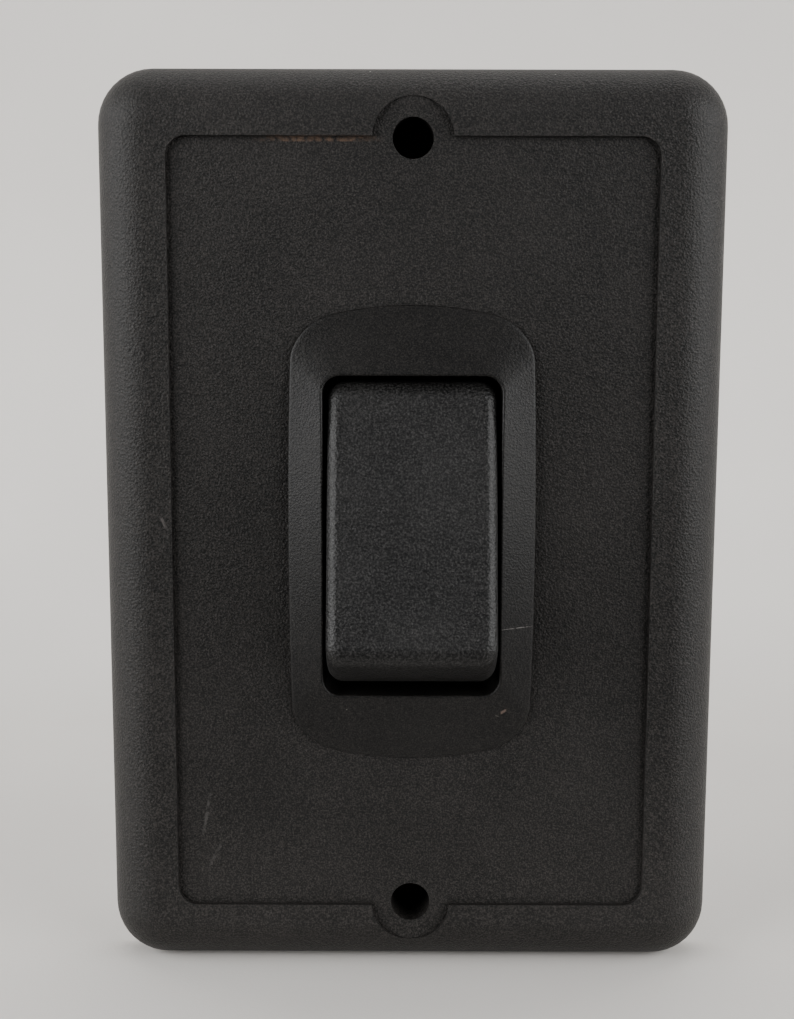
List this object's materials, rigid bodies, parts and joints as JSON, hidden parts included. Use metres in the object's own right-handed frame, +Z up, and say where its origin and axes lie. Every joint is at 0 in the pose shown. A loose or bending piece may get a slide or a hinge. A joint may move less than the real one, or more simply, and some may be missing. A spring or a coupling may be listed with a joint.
{
  "type": "rocker wall switch",
  "caption": "Black wall plate with a wide rocker in a crowned bezel, and behind it a sprung see-saw contact mechanism in a closed case with rear tabs.",
  "frame": {"origin": "midway between the two mounting holes, on the wall's surface", "axes": "+X to the right of somebody facing the switch, +Z up, +Y into the wall"},
  "size_m": [0.078, 0.0379, 0.1142],
  "materials": {
    "plate": "black moulded plastic with a fine spark-eroded texture",
    "bezel": "black satin moulded plastic",
    "rocker": "black moulded plastic, coarse low texture",
    "case": "black nylon",
    "base": "brown phenolic moulding",
    "plunger": "natural acetal",
    "spring_steel": "drawn spring wire",
    "copper_alloy": "rolled copper alloy strip",
    "silver_contact": "dull silver alloy",
    "terminal_brass": "stamped brass",
    "screw_steel": "zinc plated steel"
  },
  "bodies": {
    "housing": {"wall_plate": "plate", "switch_bezel": "bezel", "switch_case": "case", "terminal_base": "base", "case_screws": "screw_steel", "base_screws": "screw_steel", "common_terminal_left": "terminal_brass", "load_terminal_left": "terminal_brass", "fixed_contact_left": "silver_contact", "common_terminal_right": "terminal_brass", "load_terminal_right": "terminal_brass", "fixed_contact_right": "silver_contact"},
    "rocker": {"rocker": "rocker", "plunger_spring_left": "spring_steel", "plunger_spring_right": "spring_steel"},
    "plunger_left": {"plunger_left": "plunger"},
    "blade_left": {"contact_blade_left": "copper_alloy", "blade_contact_left": "silver_contact"},
    "plunger_right": {"plunger_right": "plunger"},
    "blade_right": {"contact_blade_right": "copper_alloy", "blade_contact_right": "silver_contact"}
  },
  "joints": [
    {"name": "rocker_hinge", "type": "hinge", "parent": "housing", "child": "rocker", "pos_m": [0, -0.0035, -0.0003], "axis": [1, 0, 0], "range_deg": [0, 30]},
    {"name": "plunger_slide_left", "type": "slide", "parent": "rocker", "child": "plunger_left", "axis": [0, -0.9659, 0.2588], "range_m": [0, 0.0009], "stiffness_N_per_m": 500, "springref_m": -0.003, "deforming": ["plunger_spring_left"]},
    {"name": "blade_hinge_left", "type": "hinge", "parent": "housing", "child": "blade_left", "pos_m": [-0.006, 0.006, -0.0003], "axis": [1, 0, 0], "range_deg": [-12, 0]},
    {"name": "plunger_slide_right", "type": "slide", "parent": "rocker", "child": "plunger_right", "axis": [0, -0.9659, 0.2588], "range_m": [0, 0.0009], "stiffness_N_per_m": 500, "springref_m": -0.003, "deforming": ["plunger_spring_right"]},
    {"name": "blade_hinge_right", "type": "hinge", "parent": "housing", "child": "blade_right", "pos_m": [0.006, 0.006, -0.0003], "axis": [1, 0, 0], "range_deg": [-12, 0]}
  ],
  "couplings": [
    {"joint": "blade_hinge_left", "follows": "rocker_hinge", "ratio": -0.4},
    {"joint": "blade_hinge_right", "follows": "rocker_hinge", "ratio": -0.4}
  ]
}
